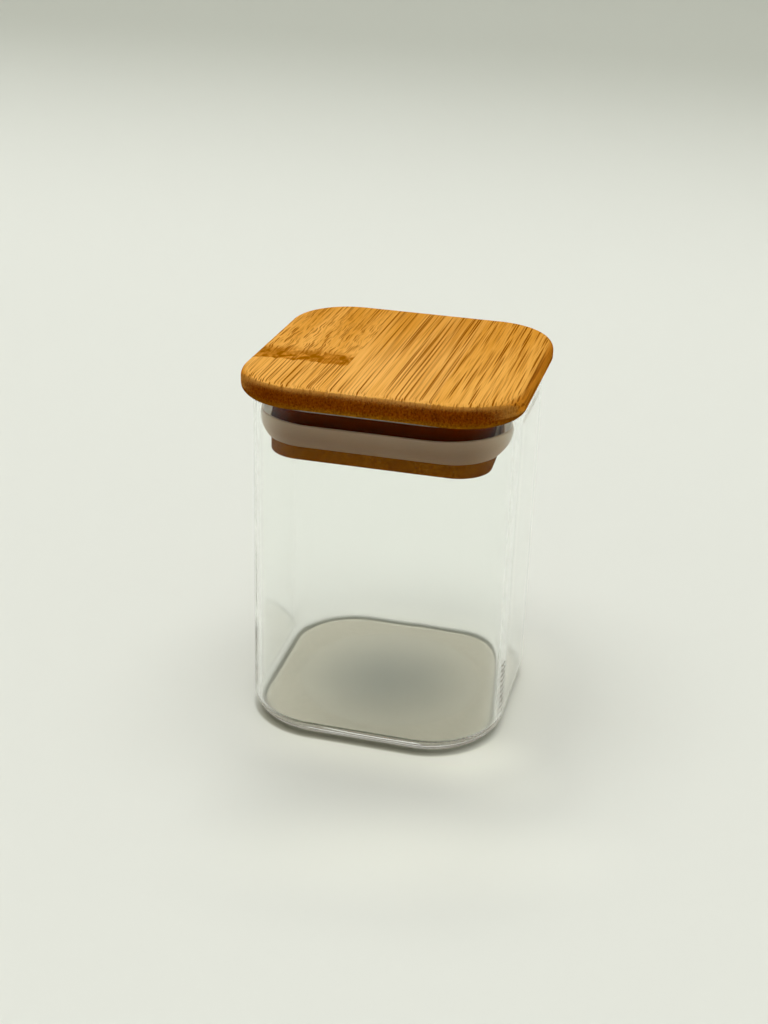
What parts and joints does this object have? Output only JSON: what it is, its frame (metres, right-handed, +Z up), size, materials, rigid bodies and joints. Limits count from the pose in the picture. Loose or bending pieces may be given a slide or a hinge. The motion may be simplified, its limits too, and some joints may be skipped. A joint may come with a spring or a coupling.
{
  "type": "spice jar",
  "caption": "Square clear glass storage jar with wide round corners and a push-in bamboo lid sealed by a flared silicone gasket.",
  "frame": {"origin": "centre of the base, on the surface that the jar stands on", "axes": "+Z up through the lid, -Y out of the front face, bamboo grain along Y"},
  "size_m": [0.068, 0.068, 0.0925],
  "materials": {
    "glass": "clear, polished",
    "bamboo": "sanded, satin clear coat",
    "silicone": "translucent, satin"
  },
  "bodies": {
    "jar": {"glass_jar": "glass"},
    "lid": {"plate_strip_left": "bamboo", "plate_strip_middle": "bamboo", "plate_strip_right": "bamboo", "neck_strip_left": "bamboo", "neck_strip_middle": "bamboo", "neck_strip_right": "bamboo", "plug_strip_left": "bamboo", "plug_strip_middle": "bamboo", "plug_strip_right": "bamboo", "silicone_gasket": "silicone"}
  },
  "joints": [
    {"name": "lid_lift", "type": "slide", "parent": "jar", "child": "lid", "axis": [0, 0, 1], "range_m": [0, 0.05]}
  ]
}
